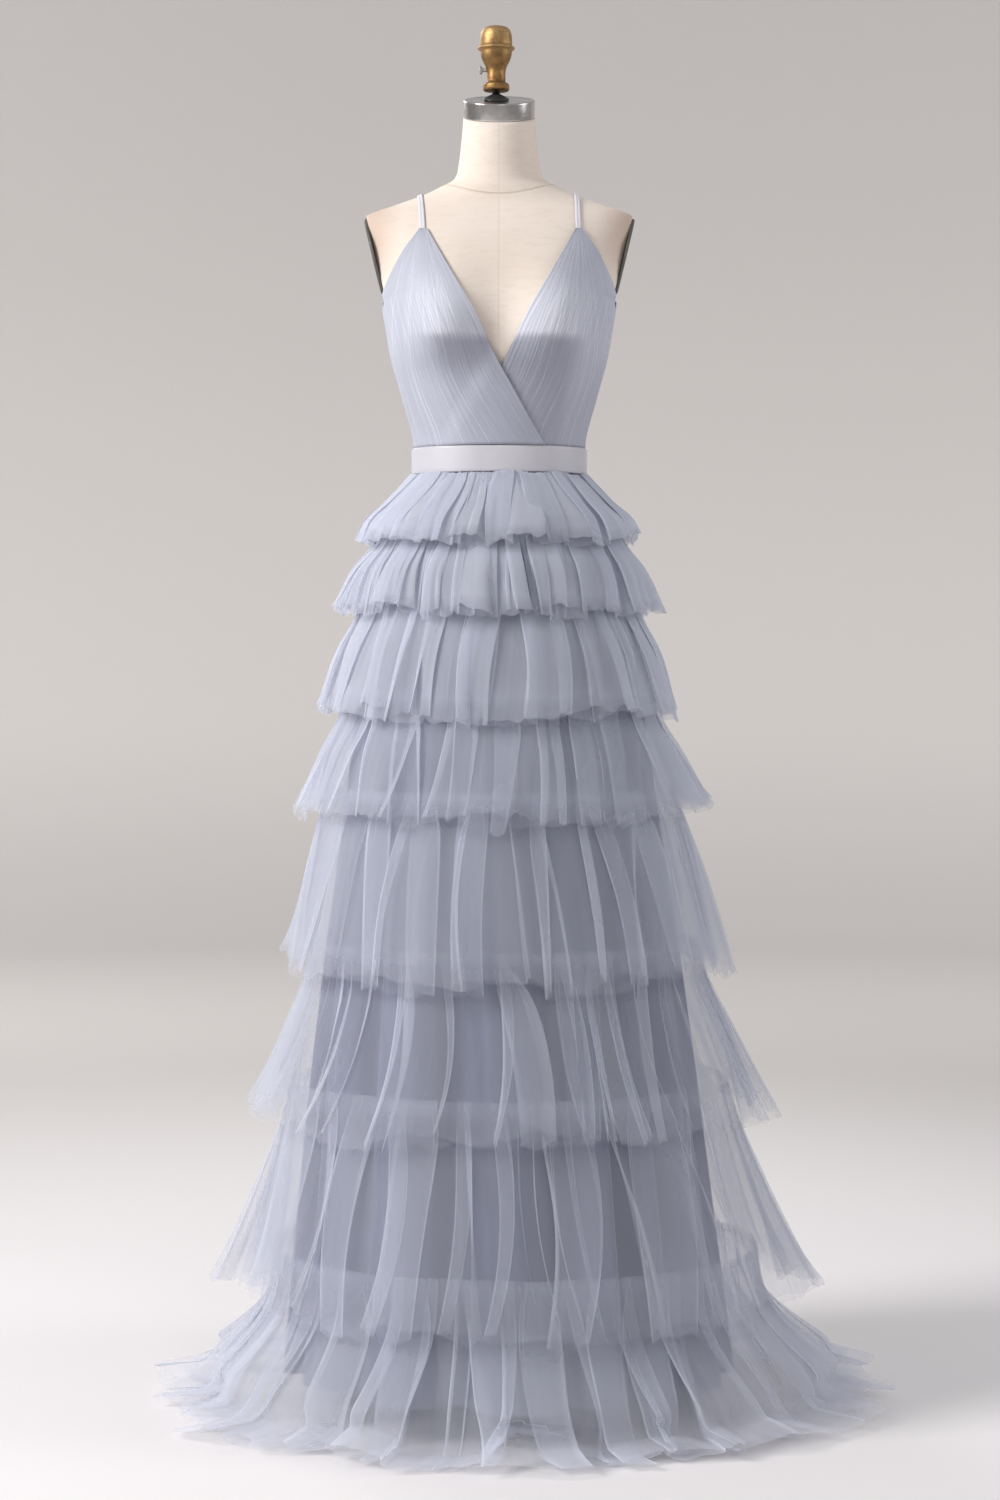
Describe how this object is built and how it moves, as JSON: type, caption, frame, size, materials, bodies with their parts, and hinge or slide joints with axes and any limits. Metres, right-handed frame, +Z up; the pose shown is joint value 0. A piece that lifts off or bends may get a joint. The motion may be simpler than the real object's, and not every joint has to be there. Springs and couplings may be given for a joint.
{
  "type": "ball gown on a limbless dress form",
  "caption": "Floor-length tiered tulle ball gown with a wrapped V-neck bodice, thin straps and satin waistband, on a limbless dress form with a neck finial and stand.",
  "frame": {"origin": "middle of the underside of the stand's foot, on the floor", "axes": "+Z up along the pole, -Y out of the gown's front, +X to the wearer's left"},
  "size_m": [0.9612, 0.9075, 1.7841],
  "materials": {
    "linen": "fine cream linen, matt",
    "painted_plate": "dark olive grey paint, satin",
    "steel": "brushed and polished steel",
    "iron": "black paint, satin",
    "gold": "aged gold paint on rough casting",
    "zinc": "zinc plate",
    "bodice_tulle": "dusty blue tulle gathered over an opaque backing",
    "tulle": "dusty blue soft tulle, sheer, two layers",
    "strap_satin": "pale periwinkle satin",
    "band_satin": "pale grey lilac satin, soft sheen",
    "lining": "slate blue lining satin"
  },
  "bodies": {
    "gown_and_form": {"form_torso": "linen", "arm_plate_left": "painted_plate", "arm_plate_right": "painted_plate", "neck_cap": "steel", "finial_rod": "iron", "finial": "gold", "pole": "steel", "pole_socket": "iron", "foot": "iron", "foot_hub": "iron", "bodice_front_right": "bodice_tulle", "bodice_front_left": "bodice_tulle", "bodice_back_right": "bodice_tulle", "bodice_back_left": "bodice_tulle", "strap_right": "strap_satin", "strap_left": "strap_satin", "waistband_front": "band_satin", "waistband_back_right": "band_satin", "waistband_back_left": "band_satin", "zip_coil": "lining", "zip_slider": "zinc", "underskirt_front": "lining", "underskirt_back": "lining", "tier_1": "tulle", "tier_2": "tulle", "tier_3": "tulle", "tier_4": "tulle", "tier_5": "tulle", "tier_6": "tulle", "tier_7": "tulle", "tier_8": "tulle"},
    "thumbscrew": {"thumbscrew": "zinc"},
    "zip_pull": {"zip_pull": "zinc"}
  },
  "joints": [
    {"name": "thumbscrew_turn", "type": "hinge", "parent": "gown_and_form", "child": "thumbscrew", "pos_m": [-0.016, 0, 1.727], "axis": [-1, 0, 0], "range_deg": [0, 720]},
    {"name": "zip_pull_swing", "type": "hinge", "parent": "gown_and_form", "child": "zip_pull", "pos_m": [0, 0.1133, 1.3983], "axis": [1, 0, 0], "range_deg": [0, 120]}
  ]
}
